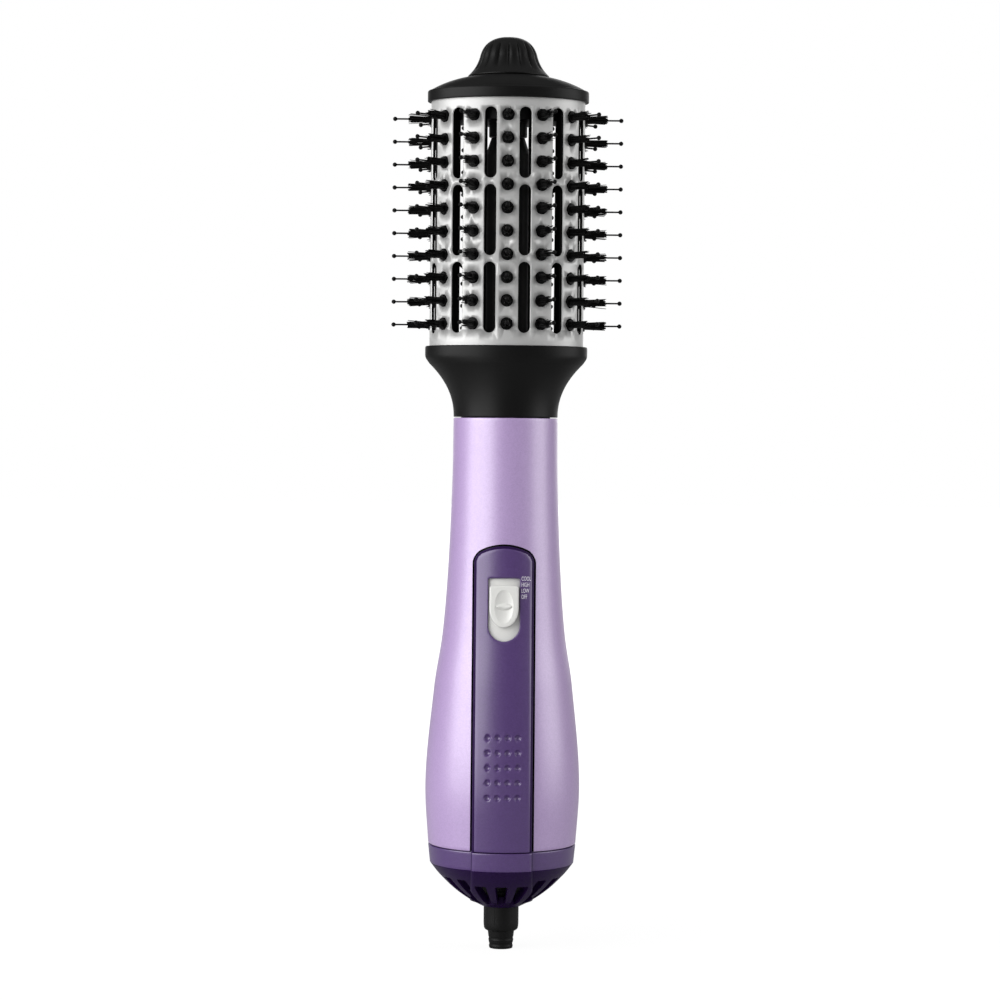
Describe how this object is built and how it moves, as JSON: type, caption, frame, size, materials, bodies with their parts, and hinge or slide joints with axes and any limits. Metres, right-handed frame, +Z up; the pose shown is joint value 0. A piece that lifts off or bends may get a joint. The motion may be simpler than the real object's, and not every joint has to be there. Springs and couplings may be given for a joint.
{
  "type": "hot air brush",
  "caption": "Hand-held hot air styling brush: slotted oval metal barrel with bristle strips, fluted tip, two-tone waisted handle with slide switch, vented tail cap and swivel cord outlet.",
  "frame": {"origin": "middle of the cord outlet's lower end, on the long axis, at the lowest point", "axes": "+Z up the long axis towards the tip knob, control panel and slide switch facing -Y, wide way of the oval barrel along X"},
  "size_m": [0.0766, 0.0614, 0.3009],
  "materials": {
    "lilac_lacquer": "metallic satin lacquer on moulded ABS",
    "plum_lacquer": "metallic satin lacquer on moulded ABS",
    "silver_lacquer": "silver lacquer on moulded ABS",
    "black_nylon": "fine matte moulded glass-filled nylon",
    "black_rubber": "moulded soft PVC",
    "satin_aluminium": "satin brushed tube",
    "bristle_nylon": "moulded nylon strips with nylon bristles",
    "zinc_steel": "zinc plated",
    "brass": "plain",
    "mica_sheet": "punched mica board",
    "nichrome_wire": "oxidised resistance wire",
    "white_ceramic": "unglazed",
    "green_laminate": "solder masked glass laminate"
  },
  "bodies": {
    "handle": {"housing_front": "lilac_lacquer", "housing_rear": "lilac_lacquer", "control_panel": "plum_lacquer", "tail_cap": "plum_lacquer", "switch_body": "black_nylon", "intake_screen": "black_nylon", "fan_duct": "black_nylon", "motor_end_bell": "black_nylon", "neck_collar": "black_nylon", "core_spider": "black_nylon", "air_core": "black_nylon", "tip_cap": "black_nylon", "tip_knob": "black_nylon", "barrel": "satin_aluminium", "bristle_rail_01": "bristle_nylon", "bristle_rail_02": "bristle_nylon", "bristle_rail_03": "bristle_nylon", "bristle_rail_04": "bristle_nylon", "bristle_rail_05": "bristle_nylon", "bristle_rail_06": "bristle_nylon", "bristle_rail_07": "bristle_nylon", "bristle_rail_08": "bristle_nylon", "bristle_rail_09": "bristle_nylon", "bristle_rail_10": "bristle_nylon", "bristle_rail_11": "bristle_nylon", "bristle_rail_12": "bristle_nylon", "housing_screw_lower": "zinc_steel", "housing_screw_upper": "zinc_steel", "motor_can": "zinc_steel", "thermostat": "zinc_steel", "tip_screw": "zinc_steel", "slip_contact_inner": "brass", "slip_contact_outer": "brass", "heater_mica_wide": "mica_sheet", "heater_mica_deep": "mica_sheet", "heater_sleeve": "mica_sheet", "heater_coil": "nichrome_wire", "heater_base": "white_ceramic", "thermal_fuse": "white_ceramic", "rectifier_board": "green_laminate"},
    "power_slider": {"slide_button": "silver_lacquer", "switch_lever": "brass"},
    "fan": {"impeller": "black_nylon", "motor_shaft": "zinc_steel"},
    "cord_swivel": {"strain_relief": "black_rubber", "swivel_socket": "black_rubber", "swivel_rotor": "black_nylon", "slip_ring_inner": "brass", "slip_ring_outer": "brass"}
  },
  "joints": [
    {"name": "power_slide", "type": "slide", "parent": "handle", "child": "power_slider", "axis": [0, 0.0819, 0.9966], "range_m": [-0.004, 0.002]},
    {"name": "fan_spin", "type": "hinge", "parent": "handle", "child": "fan", "pos_m": [0, 0, 0.0514], "axis": [0, 0, 1], "continuous": true},
    {"name": "cord_turn", "type": "hinge", "parent": "handle", "child": "cord_swivel", "pos_m": [0, 0, 0], "axis": [0, 0, 1], "continuous": true}
  ]
}
